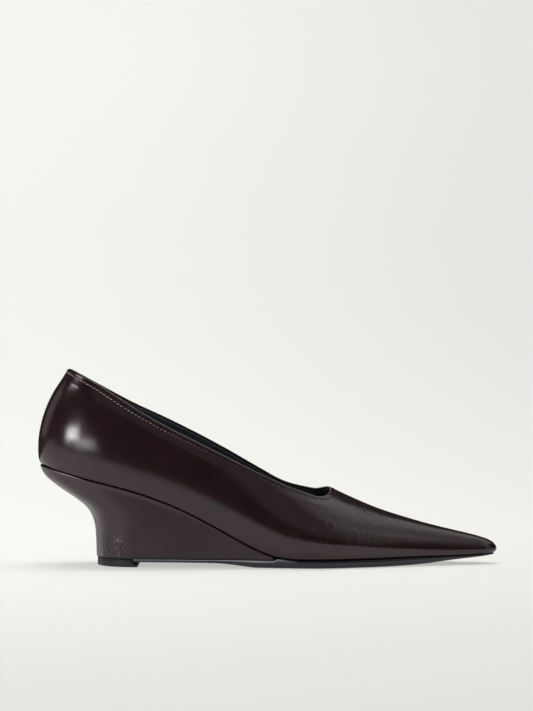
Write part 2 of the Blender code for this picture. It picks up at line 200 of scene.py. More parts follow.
def reader(columns, rows, blur):
    """A function that reads a column of a table at many places, its bends blurred a little."""
    table = np.array(rows, float)
    x = table[:, 0]
    fine = np.linspace(x[0], x[-1], READ_STEPS)
    step = fine[1] - fine[0]
    reach = max(int(3 * blur / step), 1)
    kernel = np.exp(-0.5 * (np.arange(-reach, reach + 1) * step / max(blur, 1e-9)) ** 2)
    kernel /= kernel.sum()
    values = {}
    for c, name in enumerate(columns[1:], 1):
        y = table[:, c]
        d = slopes(x, y)
        k = np.clip(np.searchsorted(x, fine, side="right") - 1, 0, len(x) - 2)
        width = x[k + 1] - x[k]
        u = (fine - x[k]) / width
        curve = (
            y[k] * (1 + 2 * u) * (1 - u) ** 2
            + d[k] * width * u * (1 - u) ** 2
            + y[k + 1] * u * u * (3 - 2 * u)
            + d[k + 1] * width * u * u * (u - 1)
        )
        before = 2 * curve[0] - curve[reach:0:-1]
        after = 2 * curve[-1] - curve[-2 : -reach - 2 : -1]
        values[name] = np.convolve(np.concatenate((before, curve, after)), kernel, "valid")

    def read(name, at):
        """The column's value at each place."""
        return np.interp(at, fine, values[name])

    return read


LAST_BLUR = 0.018
PROFILE_BLUR = 0.02
TOPLINE_BLUR = 0.012
TREAD_BLUR = 0.004
last = reader(LAST_COLUMNS, LAST_ROWS, LAST_BLUR)
back = reader(BACK_COLUMNS, BACK_ROWS, PROFILE_BLUR)
nose = reader(NOSE_COLUMNS, NOSE_ROWS, PROFILE_BLUR)
topline = reader(TOPLINE_COLUMNS, TOPLINE_ROWS, TOPLINE_BLUR)
wedge_back = reader(WEDGE_COLUMNS, WEDGE_ROWS, PROFILE_BLUR)
tread = reader(TREAD_COLUMNS, TREAD_ROWS, TREAD_BLUR)


def round_fall(u):
    """A round curve that falls from 1, where u is 0, to 0, where u is 1."""
    return part_of_one(1 - u**ROUND_POWER) ** (1 / ROUND_POWER)


def rounding(station):
    """1 along the shoe, falling to 0 on a round curve at the heel and at the toe."""
    heel = part_of_one(1 - station / HEEL_ROUNDING)
    toe = part_of_one((station - SHOE_LENGTH + TOE_ROUNDING) / TOE_ROUNDING)
    return round_fall(np.maximum(heel, toe))


def axis(station):
    """The line on which both sides meet at the heel and at the toe."""
    return TOE_OFFSET * (station / SHOE_LENGTH) ** 3


def lean_fade(station):
    """1 at the back of the heel, falling softly to 0 where its lean ends."""
    return part_of_one(1 - station / LEAN_REACH) ** 2


def nose_fade(station):
    """1 at the toe, falling softly to 0 where the slope of the nose ends."""
    return part_of_one(1 - (SHOE_LENGTH - station) / NOSE_REACH) ** 2


def seat_height(x):
    """Height of the feather line."""
    return SEAT_HEIGHT * last("seat", x / SHOE_LENGTH)


def place(station, z, crown):
    """How far forward a point of the last stands, from its station and its height."""
    low = seat_height(station)
    up = (z - SEAT_HEIGHT) / (COLLAR_HEIGHT - SEAT_HEIGHT)
    tip = (z - low) / (crown - low)
    lean = COLLAR_LEAN * back("inset", up) * lean_fade(station)
    return station + lean - NOSE_SLOPE * nose("inset", tip) * nose_fade(station)


def feather(station, side):
    """Points on the feather line of one side."""
    share = station / SHOE_LENGTH
    x = place(station, SEAT_HEIGHT * last("seat", share), COLLAR_HEIGHT * last("crown", share))
    middle = axis(station)
    y = side * BALL_WIDTH * last(SIDE_NAME[side], share)
    return x, middle + (y - middle) * rounding(station)


def on_last(station, side, t):
    """Points on the outside of the upper: t is 0 at the feather line and 1 on the ridge."""
    share = station / SHOE_LENGTH
    x, foot = feather(station, side)
    low = seat_height(x)
    middle = axis(station)
    shrink = rounding(station)
    crown = COLLAR_HEIGHT * last("crown", share)
    ridge = middle + (BALL_WIDTH * last("ridge", share) - middle) * shrink
    reach = last("flat", share) * (foot - ridge)
    swell = side * BALL_WIDTH * last("swell", share) * shrink
    u = 1 - t
    a, b, c, d = u**3, 3 * u * u * t, 3 * u * t * t, t**3
    y = a * foot + b * (foot + swell) + c * (ridge + reach) + d * ridge
    shoulder = low + SHOULDER * (crown - low)
    roll = crown + last("roll", share) * reach
    z = a * low + b * shoulder + c * roll + d * crown
    return np.stack((place(station, z, crown), y, z), axis=-1)


def topline_height(x, side):
    """Height of the topline on one side, from how far ahead of the collar's back it is."""
    ahead = (x - COLLAR_LEAN) / (SHOE_LENGTH - COLLAR_LEAN)
    return COLLAR_HEIGHT * topline(SIDE_NAME[side], ahead)


HALVINGS = 40


def top_share(station, side):
    """The t at which the topline cuts each section. It is 1 from the throat forward."""
    low, high = np.zeros(len(station)), np.ones(len(station))
    for _ in range(HALVINGS):
        t = (low + high) / 2
        point = on_last(station, side, t)
        under = point[:, 2] < topline_height(point[:, 0], side)
        low = np.where(under, t, low)
        high = np.where(under, high, t)
    closed = 1 - (1 - t) * round_fall(part_of_one(1 - (THROAT_STATION - station) / THROAT_ROUNDING))
    return np.where(station >= THROAT_STATION, 1.0, closed)


def spaced(start, end, count, round_end=None):
    """Stations from start to end, closer together at the end that curves round."""
    u = np.linspace(0, 1, count + 1)[:-1]
    if round_end == "start":
        u = 1 - np.cos(np.pi / 2 * u)
    elif round_end == "end":
        u = np.sin(np.pi / 2 * u)
    return list(start + (end - start) * u)


STATIONS = np.array(
    spaced(0.0, HEEL_ROUNDING, 28, "start")
    + spaced(HEEL_ROUNDING, SOLE_REAR_STATION, 18)
    + spaced(SOLE_REAR_STATION, WEDGE_TIP_STATION, 62)
    + spaced(WEDGE_TIP_STATION, THROAT_STATION - THROAT_ROUNDING, 26)
    + spaced(THROAT_STATION - THROAT_ROUNDING, THROAT_STATION, 22, "end")
    + spaced(THROAT_STATION, CREASES_END, 44)
    + spaced(CREASES_END, SHOE_LENGTH - TOE_ROUNDING, 44)
    + spaced(SHOE_LENGTH - TOE_ROUNDING, SHOE_LENGTH, 20, "end")
    + [SHOE_LENGTH]
)
THROAT_INDEX = int(np.argmin(np.abs(STATIONS - THROAT_STATION)))
REAR_INDEX = int(np.argmin(np.abs(STATIONS - SOLE_REAR_STATION)))
TIP_INDEX = int(np.argmin(np.abs(STATIONS - WEDGE_TIP_STATION)))


def outline(side, offset):
    """The feather line of one side in plan, moved outward by offset at each station."""
    points = np.stack(feather(STATIONS, side), axis=1)
    along = np.empty_like(points)
    along[1:-1] = points[2:] - points[:-2]
    along[0] = (0, side)
    along[-1] = (0, -side)
    along /= np.linalg.norm(along, axis=1)[:, None]
    outward = side * np.stack((-along[:, 1], along[:, 0]), axis=1)
    return points + outward * np.reshape(offset, (-1, 1))


SHOE_CENTRE = np.array((SHOE_LENGTH / 2, CENTRE_ACROSS, 0.0))
CORNERS_PER_MM = 2000


class Body:
    """Corners and faces of one piece. Corners that coincide are made once."""

    def __init__(self):
        self.points = []
        self.index = {}
        self.faces = []

    def corner(self, point):
        """The number of the corner at a point, made when there is none yet."""
        key = tuple(round(value * CORNERS_PER_MM) for value in point)
        if key not in self.index:
            self.index[key] = len(self.points)
            self.points.append((float(point[0]), float(point[1]), float(point[2])))
        return self.index[key]

    def face(self, corners):
        """A face, unless its corners coincide so that nothing is left of it."""
        kept = [c for k, c in enumerate(corners) if c != corners[k - 1]]
        if len(set(kept)) > 2:
            self.faces.append(kept)

    def ring_walls(self, rings):
        """Walls between each ring of corners and the next."""
        for one, two in zip(rings[:-1], rings[1:]):
            for k in range(len(one)):
                n = (k + 1) % len(one)
                self.face([one[n], one[k], two[k], two[n]])

    def piece(self, name, material, values=None):
        """The mesh object, in metres, in the shoe's own frame, with named values at its corners."""
        mesh = bpy.data.meshes.new(name)
        corners = [tuple((np.array(p) - SHOE_CENTRE) * MM) for p in self.points]
        mesh.from_pydata(corners, [], self.faces)
        mesh.materials.append(material)
        mesh.polygons.foreach_set("use_smooth", [True] * len(self.faces))
        for key, numbers in (values or {}).items():
            held = mesh.attributes.new(key, "FLOAT", "POINT")
            held.data.foreach_set("value", np.asarray(numbers, np.float32))
        mesh.update()
        made = bpy.data.objects.new(name, mesh)
        bpy.context.scene.collection.objects.link(made)
        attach(made, "root")
        return made


def unit(v):
    """Each vector at a length of 1."""
    return v / np.maximum(np.linalg.norm(v, axis=-1, keepdims=True), 1e-12)


def corner_normals(points, faces):
    """The outward direction at each corner, from the faces round it."""
    normals = np.zeros_like(points)
    for size in (3, 4):
        some = np.array([f for f in faces if len(f) == size])
        if not len(some):
            continue
        corners = points[some]
        area = np.cross(corners, np.roll(corners, -1, axis=1)).sum(axis=1)
        for k in range(size):
            np.add.at(normals, some[:, k], area)
    return unit(normals)


ROWS = 46
EVENNESS = 0.6
EVEN_SHARES = np.linspace(0, 1, ROWS + 1)
CROWDED_SHARES = (1 - np.cos(np.pi * EVEN_SHARES)) / 2
ROW_SHARES = EVENNESS * EVEN_SHARES + (1 - EVENNESS) * CROWDED_SHARES


def skin_grid():
    """The outside of the upper as a grid of corner numbers for each side, with its body."""
    body = Body()
    grid = {}
    for side in SIDES:
        top = top_share(STATIONS, side)
        cells = np.stack([on_last(STATIONS, side, top * share) for share in ROW_SHARES], axis=1)
        grid[side] = [[body.corner(p) for p in row] for row in cells]
        for one, two in zip(grid[side][:-1], grid[side][1:]):
            for k in range(ROWS):
                face = [one[k], two[k], two[k + 1], one[k + 1]]
                body.face(face if side == OUTER else face[::-1])
    return body, grid


def crease_depth(points, rows):
    """How far the creases of one side push each point in. It is below 0 on their ridges."""
    depth = np.zeros(len(points))
    for row in rows:
        crease = dict(zip(CREASE_COLUMNS, row))
        climb = points[:, 2] - crease["low"]
        up = part_of_one(climb / (crease["high"] - crease["low"]))
        middle = crease["station"] + crease["lean"] * climb
        u = (points[:, 0] - middle) / crease["width"]
        depth += crease["depth"] * np.sin(np.pi * up) ** 2 * (1 - u * u) * np.exp(-u * u / 2)
    return depth


SKIN, GRID = skin_grid()
SKIN_POINTS = np.array(SKIN.points)
SKIN_NORMALS = corner_normals(SKIN_POINTS, SKIN.faces)
CREASED = np.where(
    SKIN_POINTS[:, 1] < axis(SKIN_POINTS[:, 0]),
    crease_depth(SKIN_POINTS, OUTER_CREASE_ROWS),
    crease_depth(SKIN_POINTS, INNER_CREASE_ROWS),
)
SKIN_POINTS = SKIN_POINTS - SKIN_NORMALS * CREASED[:, None]
SKIN_NORMALS = corner_normals(SKIN_POINTS, SKIN.faces)

# The topline as one closed loop of corners: forward on the outer side, back on the inner one
LOOP = [rows[-1] for rows in GRID[OUTER][: THROAT_INDEX + 1]]
LOOP += [rows[-1] for rows in GRID[INNER][THROAT_INDEX - 1 : 0 : -1]]
LOOP_POINTS = SKIN_POINTS[LOOP]
LOOP_NORMALS = SKIN_NORMALS[LOOP]
LOOP_ALONG = unit(np.roll(LOOP_POINTS, -1, axis=0) - np.roll(LOOP_POINTS, 1, axis=0))
LOOP_NORMALS = unit(LOOP_NORMALS - (LOOP_NORMALS * LOOP_ALONG).sum(1)[:, None] * LOOP_ALONG)
LOOP_UP = np.cross(LOOP_NORMALS, LOOP_ALONG)
if LOOP_UP[0, 2] < 0:
    LOOP_UP = -LOOP_UP


BATCH = 2000


def edge_distance(points):
    """Straight distance of each point from the nearest corner of the topline."""
    out = np.empty(len(points))
    for k in range(0, len(points), BATCH):
        some = points[k : k + BATCH]
        out[k : k + BATCH] = np.sqrt(((some[:, None] - LOOP_POINTS[None]) ** 2).sum(-1).min(1))
    return out


# Painted highlight on the crown of the rounded topline: how far each ring is blended toward a pale
# colour, from the outside in
RIM_HIGHLIGHT_SHARES = (0.45, 1.0, 1.0, 0.5, 0.0, 0.0)
RIM_STEPS = len(RIM_HIGHLIGHT_SHARES) + 1


def shell(outer_depth, inner_depth, drop, turn_in):
    """A closed skin between two depths below the outside of the upper, its top edge rounded."""
    body = Body()
    points = SKIN_POINTS - SKIN_NORMALS * outer_depth
    inside = SKIN_POINTS - SKIN_NORMALS * inner_depth
    for k, corner in enumerate(LOOP):
        points[corner] = LOOP_POINTS[k] - LOOP_NORMALS[k] * outer_depth - LOOP_UP[k] * drop
        inside[corner] = LOOP_POINTS[k] - LOOP_NORMALS[k] * inner_depth - LOOP_UP[k] * drop
    for side in SIDES:
        outer_foot = outline(side, -(outer_depth + turn_in))
        inner_foot = outline(side, -inner_depth)
        for rows, (x, y), (xi, yi) in zip(GRID[side], outer_foot, inner_foot):
            points[rows[0]] = (x, y, seat_height(x))
            inside[rows[0]] = (xi, yi, seat_height(xi))
    count = len(points)
    body.points = [tuple(p) for p in np.concatenate((points, inside))]
    for face in SKIN.faces:
        body.face(face)
        body.face([count + c for c in reversed(face)])
    for side in SIDES:
        for one, two in zip(GRID[side][:-1], GRID[side][1:]):
            face = [two[0], one[0], count + one[0], count + two[0]]
            body.face(face if side == OUTER else face[::-1])
    radius = (inner_depth - outer_depth) / 2
    rims = [LOOP]
    for step in range(1, RIM_STEPS):
        angle = math.pi * step / RIM_STEPS
        depth = outer_depth + radius * (1 - math.cos(angle))
        rise = radius * math.sin(angle) - drop
        ring = LOOP_POINTS - LOOP_NORMALS * depth + LOOP_UP * rise
        start = len(body.points)
        body.points += [tuple(p) for p in ring]
        rims.append(list(range(start, start + len(ring))))
    rims.append([count + corner for corner in LOOP])
    for one, two in zip(rims[:-1], rims[1:]):
        for k in range(len(one)):
            n = (k + 1) % len(one)
            body.face([one[k], one[n], two[n], two[k]])
    return body


def across(left, right, z, columns):
    """Points straight across from left to right at one height."""
    u = np.linspace(0, 1, columns + 1)[:, None]
    points = np.array(left)[None, :2] + (np.array(right)[:2] - np.array(left)[:2])[None] * u
    return [(p[0], p[1], z) for p in points]


def section_between(outer, inner, columns):
    """A ring of points: across the top, down the inner wall, back across, up the outer wall."""
    top = across(outer[0], inner[0], outer[0][2], columns)
    bottom = across(inner[-1], outer[-1], inner[-1][2], columns)
    return [*top, *inner[1:-1], *bottom, *outer[-2:0:-1]]


def closed_loft(sections, start_closed, end_closed):
    """A skin over ring-shaped sections, with a flat face on the ends that are closed."""
    body = Body()
    rings = [[body.corner(p) for p in section] for section in sections]
    body.ring_walls(rings)
    for wanted, ring in ((start_closed, rings[0]), (end_closed, rings[-1][::-1])):
        if wanted:
            body.faces.append(ring)
    return body


def wedge_base(x):
    """Height of the underside of the wedge."""
    share = min(max((BASE_SETTLES - x) / (BASE_SETTLES - WEDGE_SETBACK), 0.0), 1.0)
    return WEDGE_BASE_FRONT + (WEDGE_BASE_BACK - WEDGE_BASE_FRONT) * share


# Rows down the wall of the wedge: over its rolled lip, down the curve under it, to the base
LIP_ROLL = 0.6
LIP_ROLL_LIMIT = 0.3
LIP_CURVE = 1.5
ROLL_ANGLES = np.radians((90.0, 75.0, 60.0, 45.0, 30.0, 15.0, 0.0))
LIP_SHARES = np.array((0.25, 0.4, 0.6, 0.8, 1.0)) * LIP_DEPTH
CURVE_END = 0.72
LAST_ROW = 0.985
CURVE_SHARES = np.linspace(LIP_DEPTH, CURVE_END, 34)[1:]
LOW_SHARES = np.linspace(CURVE_END, LAST_ROW, 10)[1:]
WEDGE_DEPTHS = np.concatenate((LIP_SHARES, CURVE_SHARES, LOW_SHARES, (1.0,)))
WEDGE_COLUMNS_ACROSS = 10


def wedge_wall(side):
    """Points down one side of the wedge at each station, over its rolled lip and to its base."""
    fade = part_of_one(1 - STATIONS / WEDGE_TIP_STATION)
    lip = outline(side, np.full(len(STATIONS), LIP))
    body = outline(side, np.zeros(len(STATIONS)))
    foot = outline(side, -WEDGE_DRAFT * fade)
    walls = []
    for k in range(TIP_INDEX + 1):
        shift = WEDGE_SETBACK * lean_fade(STATIONS[k])
        top = seat_height(lip[k][0]) - CLEAR
        low = wedge_base(lip[k][0] + shift)
        roll = min(LIP_ROLL, LIP_ROLL_LIMIT * (top - low))
        depths = np.concatenate((roll * (1 - np.sin(ROLL_ANGLES)) / (top - low), WEDGE_DEPTHS))
        depths = np.maximum.accumulate(depths)
        rolled = part_of_one(1 - depths / LIP_DEPTH) ** LIP_CURVE
        rolled[: len(ROLL_ANGLES)] = 1 - roll / LIP * (1 - np.cos(ROLL_ANGLES))
        drafted = (foot[k] - body[k]) * depths[:, None]
        plan = body[k] + drafted + (lip[k] - body[k]) * rolled[:, None]
        x = plan[:, 0] + shift * (wedge_back("inset", depths) - wedge_back("inset", 0.0))
        walls.append(np.stack((x, plan[:, 1], top + (low - top) * depths), axis=1))
    return walls


def wedge_body():
    """The covered wedge under the heel and the arch."""
    walls = zip(wedge_wall(OUTER), wedge_wall(INNER))
    sections = [section_between(outer, inner, WEDGE_COLUMNS_ACROSS) for outer, inner in walls]
    return closed_loft(sections, False, True)


def sole_top(x):
    """Height of the top of the sole: under the wedge, then under the upper."""
    under_wedge = wedge_base(x) - CLEAR
    share = min(max((x - WEDGE_TIP_STATION) / TIP_RAMP, 0.0), 1.0)
    return under_wedge + (seat_height(x) - CLEAR - under_wedge) * share


def sole_bottom(x):
    """Height of the tread."""
    return SEAT_HEIGHT * tread("rise", x / SHOE_LENGTH)


TOE_TUCK_STATION = 0.80 * SHOE_LENGTH
TOE_TUCK = 1.1
SETTLE_HALF = 6.0
SOLE_SWELL = 0.35
# How far out each row of the sole's edge stands, and its share of the way down
SOLE_EDGE_ROWS = (
    (-0.55, 0.00), (-0.38, 0.03), (-0.20, 0.09), (-0.06, 0.18), (0.00, 0.30), (-0.12, 0.50),
    (-0.45, 0.82), (-0.80, 0.95), (-1.20, 1.00),
)
WIDEST_EDGE = 4
SOLE_COLUMNS_ACROSS = 8


def outsole_body():
    """The sole from the front of the heel lift to the toe, with eased edges."""
    fade = part_of_one(1 - STATIONS / WEDGE_TIP_STATION)
    settle = part_of_one((STATIONS - WEDGE_TIP_STATION + SETTLE_HALF) / (2 * SETTLE_HALF))
    tuck = part_of_one((STATIONS - TOE_TUCK_STATION) / (SHOE_LENGTH - TOE_TUCK_STATION))
    margin = LIP - (LIP + WEDGE_DRAFT) * fade + settle * (SOLE_MARGIN - LIP)
    margin = margin + SOLE_SWELL - TOE_TUCK * tuck
    edges = {side: [outline(side, margin + out) for out, _ in SOLE_EDGE_ROWS] for side in SIDES}
    sections = []
    for k in range(REAR_INDEX, len(STATIONS)):
        x = edges[OUTER][WIDEST_EDGE][k][0]
        high, low = sole_top(x), sole_bottom(x)
        heights = [high + (low - high) * depth for _, depth in SOLE_EDGE_ROWS]
        outer, inner = ([(*row[k], z) for row, z in zip(edges[side], heights)] for side in SIDES)
        sections.append(section_between(outer, inner, SOLE_COLUMNS_ACROSS))
    return closed_loft(sections, True, False)


LIFT_EASE = 0.4
LIFT_COLUMNS_ACROSS = 8
LAP_GAP = 0.2


def heel_lift_body():
    """The top piece under the back of the wedge, lapped by the outsole."""
    feet = [[wall[-1] for wall in wedge_wall(side)] for side in SIDES]
    lap_wall = LIFT_FRONT - LAP_LENGTH
    back_edge = feet[0][0][0]
    share = 1 - 2 * LIFT_INSET / LIFT_WIDTH
    places = []
    for left, right in zip(*feet):
        if left[0] < lap_wall - LAP_GAP:
            forward = LIFT_INSET * (lap_wall - left[0]) / (lap_wall - back_edge)
            places.append((left[0] + forward, left[1] * share, right[1] * share))
    _, left_y, right_y = places[-1]
    steps = [(*where, wedge_base(where[0]) - CLEAR) for where in places]
    steps.append((lap_wall, left_y, right_y, wedge_base(lap_wall) - CLEAR))
    steps += [(x, left_y, right_y, sole_bottom(x) - CLEAR) for x in (lap_wall, LIFT_FRONT)]
    sections = []
    for x, left, right, top in steps:
        width = max(right - left, 1e-6)
        inset = min(LIFT_EASE / width, 0.5)
        a, b = left + width * inset, right - width * inset
        upper = across((x, a), (x, b), top, LIFT_COLUMNS_ACROSS)
        lower = across((x, b), (x, a), 0.0, LIFT_COLUMNS_ACROSS)
        right_wall = [(x, right, top - LIFT_EASE), (x, right, LIFT_EASE)]
        left_wall = [(x, left, LIFT_EASE), (x, left, top - LIFT_EASE)]
        sections.append(upper + right_wall + lower + left_wall)
    return closed_loft(sections, False, True)


INSOLE_EASE = 0.7
NARROWEST_EASED = 1.6
INSOLE_COLUMNS_ACROSS = 12


def insole_body():
    """The sock and board that the foot stands on."""
    gap = WALL + CLEAR
    edges = {side: outline(side, -gap) for side in SIDES}
    soft = {side: outline(side, -gap - INSOLE_EASE) for side in SIDES}
    sections = []
    for k in range(len(STATIONS)):
        left, right = edges[OUTER][k], edges[INNER][k]
        low = seat_height(left[0])
        high = low + INSOLE_THICKNESS
        if right[1] - left[1] > NARROWEST_EASED:
            a, b = soft[OUTER][k], soft[INNER][k]
        else:
            a = b = (left + right) / 2
        top = across(a, b, high, INSOLE_COLUMNS_ACROSS)
        bottom = across(right, left, low, INSOLE_COLUMNS_ACROSS)
        shoulder = high - INSOLE_EASE
        sections.append(top + [(*right, shoulder)] + bottom + [(*left, shoulder)])
    return closed_loft(sections, False, False)


# Materials


class Finish:
    """A Principled surface with a short way to add and join nodes."""

    def __init__(self, name):
        self.made = bpy.data.materials.new(name)
        self.made.use_nodes = True
        self.tree = self.made.node_tree
        self.shader = self.tree.nodes["Principled BSDF"]
        self.object = self.tree.nodes.new("ShaderNodeTexCoord").outputs["Object"]

    def join(self, output, to):
        """A link from an output to an input."""
        self.tree.links.new(output, to)

    def set(self, **sockets):
        """Even values on the shader's own sockets."""
        for name, value in sockets.items():
            self.shader.inputs[name.replace("_", " ")].default_value = value

    def feed(self, socket, output):
        """A value that varies over the piece, for one socket of the shader."""
        self.join(output, self.shader.inputs[socket])

    def texture(self, kind, scale, stretch, turn=(0, 0, 0)):
        """A texture node on the piece's own coordinates, stretched and turned."""
        mapping = self.tree.nodes.new("ShaderNodeMapping")
        mapping.inputs["Scale"].default_value = stretch
        mapping.inputs["Rotation"].default_value = turn
        self.join(self.object, mapping.inputs["Vector"])
        node = self.tree.nodes.new(kind)
        node.inputs["Scale"].default_value = scale
        self.join(mapping.outputs["Vector"], node.inputs["Vector"])
        return node

    def noise(self, scale, detail=3.0, roughness=0.5, stretch=(1, 1, 1), turn=(0, 0, 0)):
        """Cloudy noise from about 0 to 1."""
        node = self.texture("ShaderNodeTexNoise", scale, stretch, turn)
        node.inputs["Detail"].default_value = detail
        node.inputs["Roughness"].default_value = roughness
        return node.outputs["Fac"]

    def cells(self, scale, stretch=(1, 1, 1)):
        """Distance from the middle of the nearest cell."""
        return self.texture("ShaderNodeTexVoronoi", scale, stretch).outputs["Distance"]

    def ramp(self, value, stops):
        """Colours along a value, from stops of place and colour."""
        node = self.tree.nodes.new("ShaderNodeValToRGB")
        held = node.color_ramp.elements
        while len(held) < len(stops):
            held.new(0.5)
        for element, (at, colour) in zip(held, stops):
            element.position = at
            element.color = (*colour, 1.0)
        self.join(value, node.inputs["Fac"])
        return node.outputs["Color"]

    def mottled(self, noise, dark, light):
        """Two colours or two numbers, mixed softly by a noise."""
        pair = [(tone,) * 3 if isinstance(tone, float) else tone for tone in (dark, light)]
        return self.ramp(noise, ((0.3, pair[0]), (0.7, pair[1])))

    def blend(self, share, colour, other):
        """One colour turning to the other as the share goes from 0 to 1."""
        node = self.tree.nodes.new("ShaderNodeMix")
        node.data_type = "RGBA"
        self.join(share, node.inputs[0])
        self.join(colour, node.inputs[6])
        node.inputs[7].default_value = (*other, 1.0)
        return node.outputs[2]

    def math(self, kind, *values):
        """Arithmetic on numbers and outputs."""
        node = self.tree.nodes.new("ShaderNodeMath")
        node.operation = kind
        for socket, value in zip(node.inputs, values):
            if isinstance(value, (int, float)):
                socket.default_value = value
            else:
                self.join(value, socket)
        return node.outputs["Value"]

    def times(self, a, b):
        """The product of two values."""
        return self.math("MULTIPLY", a, b)

    def part(self, letter):
        """One coordinate of the shoe's frame, in metres."""
        node = self.tree.nodes.new("ShaderNodeSeparateXYZ")
        self.join(self.object, node.inputs["Vector"])
        return node.outputs[letter]

    def value(self, name):
        """The named value held at the piece's corners."""
        node = self.tree.nodes.new("ShaderNodeAttribute")
        node.attribute_name = name
        return node.outputs["Fac"]

    def between(self, value, low, high):
        """0 below low, 1 above high, smooth between them."""
        node = self.tree.nodes.new("ShaderNodeMapRange")
        node.interpolation_type = "SMOOTHSTEP"
        node.inputs["From Min"].default_value = low
        node.inputs["From Max"].default_value = high
        self.join(value, node.inputs["Value"])
        return node.outputs["Result"]

    def up_to(self, value, low, high):
        """1 below low, 0 above high, smooth between them."""
        return self.math("SUBTRACT", 1.0, self.between(value, low, high))

    def bump(self, height, strength, distance, before=None):
        """Relief on top of the relief before it."""
        node = self.tree.nodes.new("ShaderNodeBump")
        node.inputs["Strength"].default_value = strength
        node.inputs["Distance"].default_value = distance
        self.join(height, node.inputs["Height"])
        if before is not None:
            self.join(before, node.inputs["Normal"])
        self.join(node.outputs["Normal"], self.shader.inputs["Normal"])
        return node.outputs["Normal"]


# Painted highlight along the crown of the topline: its pale colour and how strongly it is blended
# in
RIM_HIGHLIGHT_COLOUR = (0.340, 0.310, 0.350)
RIM_HIGHLIGHT_STRENGTH = 0.8
# Where the fine lines over the ball come in and fade out, in metres along the shoe and upward
BALL_STARTS = (-0.010, 0.022)
BALL_ENDS = (0.045, 0.090)
LINES_START = (0.006, 0.014)
LINES_END = (0.026, 0.040)
# The groove that the stitches pull and the skin below them, in millimetres from their line
GROOVE = (0.15, 0.9)
PULLED_EDGE = (0.0, 5.0)


def upper_finish():
    """Box calf, almost black burgundy, polished, with fine lines where the vamp bends."""
    f = Finish("polished_upper_leather")
    f.set(IOR=1.55, Specular_Tint=(1.0, 0.91, 0.99, 1.0))
    shade = f.noise(38.0, 4.0, 0.6)
    leather_colour = f.mottled(shade, (0.0165, 0.0070, 0.0088), (0.0240, 0.0100, 0.0122))
    # Painted highlight: the leather's colour turns pale on the crown of the topline, where its fold
    # would catch the light
    rim_highlight = f.times(f.value("rim"), RIM_HIGHLIGHT_STRENGTH)
    f.feed("Base Color", f.blend(rim_highlight, leather_colour, RIM_HIGHLIGHT_COLOUR))
    f.feed("Roughness", f.mottled(f.noise(160.0, 3.0, 0.6), 0.15, 0.21))
    grain = f.bump(f.noise(1500.0, 3.0, 0.6), 0.10, 0.00012)
    x, z = f.part("X"), f.part("Z")
    over_ball = f.times(f.between(x, *BALL_STARTS), f.up_to(x, *BALL_ENDS))
    low_side = f.times(f.between(z, *LINES_START), f.up_to(z, *LINES_END))
    lines = f.noise(900.0, 2.0, 0.5, (1.0, 0.35, 0.10), (0.0, 0.10, 0.0))
    fine = f.bump(f.times(lines, f.times(over_ball, low_side)), 0.68, 0.0005, grain)
    broad = f.bump(f.times(f.noise(75.0, 2.0, 0.5), over_ball), 0.25, 0.0012, fine)
    below = f.math("SUBTRACT", f.value("edge"), f.value("stitch_at"))
    groove = f.bump(f.between(f.math("ABSOLUTE", below), *GROOVE), 0.6, 0.00018, broad)
    f.bump(f.between(below, *PULLED_EDGE), 0.8, 0.0004, groove)
    return f.made


def lining_finish():
    """Black lining leather with a cool cast, its base colour painted lighter than black as painted
    light for the shaded inside of the shoe.
    """
    f = Finish("black_lining_leather")
    f.set(Roughness=0.42, IOR=1.45)
    shade = f.noise(60.0, 3.0, 0.5)
    # Painted light: these colours are raised well above black leather so that the shaded inside
    # looks lit
    f.feed("Base Color", f.mottled(shade, (0.064, 0.069, 0.084), (0.086, 0.092, 0.112)))
    f.bump(f.noise(1300.0, 3.0, 0.6), 0.15, 0.00012)
    return f.made


# Painted highlight on the wedge's rolled lip: its pale colour
LIP_HIGHLIGHT_COLOUR = (0.560, 0.440, 0.420)
# The crinkled patch low at the back of the wedge, in metres along the shoe and upward
PATCH_STARTS = (-0.094, -0.089)
PATCH_ENDS = (-0.083, -0.074)
PATCH_TOP = (0.010, 0.018)


def wedge_finish():
    """The thinner, smoother leather that covers the wedge."""
    f = Finish("wedge_cover_leather")
    f.set(IOR=1.52, Specular_Tint=(1.0, 0.88, 0.95, 1.0))
    shade = f.noise(30.0, 4.0, 0.6)
    cover_colour = f.mottled(shade, (0.027, 0.0160, 0.0215), (0.038, 0.0225, 0.0300))
    # Painted highlight: the cover's colour turns pale along part of the rolled lip
    f.feed("Base Color", f.blend(f.value("painted_highlight"), cover_colour, LIP_HIGHLIGHT_COLOUR))
    f.feed("Roughness", f.mottled(f.noise(120.0, 3.0, 0.6), 0.31, 0.38))
    grain = f.bump(f.noise(1100.0, 3.0, 0.6), 0.12, 0.00012)
    x, z = f.part("X"), f.part("Z")
    patch = f.times(f.up_to(x, *PATCH_ENDS), f.up_to(z, *PATCH_TOP))
    patch = f.times(patch, f.between(x, *PATCH_STARTS))
    f.bump(f.times(f.cells(620.0, (1.0, 1.0, 0.7)), patch), 0.70, 0.0007, grain)
    return f.made


# Painted highlight along the top edge of the sole: its pale colour
SOLE_EDGE_HIGHLIGHT_COLOUR = (0.620, 0.600, 0.660)


def sole_finish():
    """Leather sole with a blacked, waxed edge."""
    f = Finish("waxed_sole_leather")
    f.set(Roughness=0.26, IOR=1.55)
    shade = f.noise(80.0, 4.0, 0.6)
    waxed_black = f.mottled(shade, (0.0110, 0.0115, 0.0220), (0.0170, 0.0175, 0.0320))
    # Painted highlight: the waxed black turns pale along the sole's top edge under the wedge
    f.feed("Base Color", f.blend(f.value("painted_highlight"), waxed_black, SOLE_EDGE_HIGHLIGHT_COLOUR))
    f.bump(f.noise(900.0, 4.0, 0.65), 0.2, 0.00015)
    return f.made


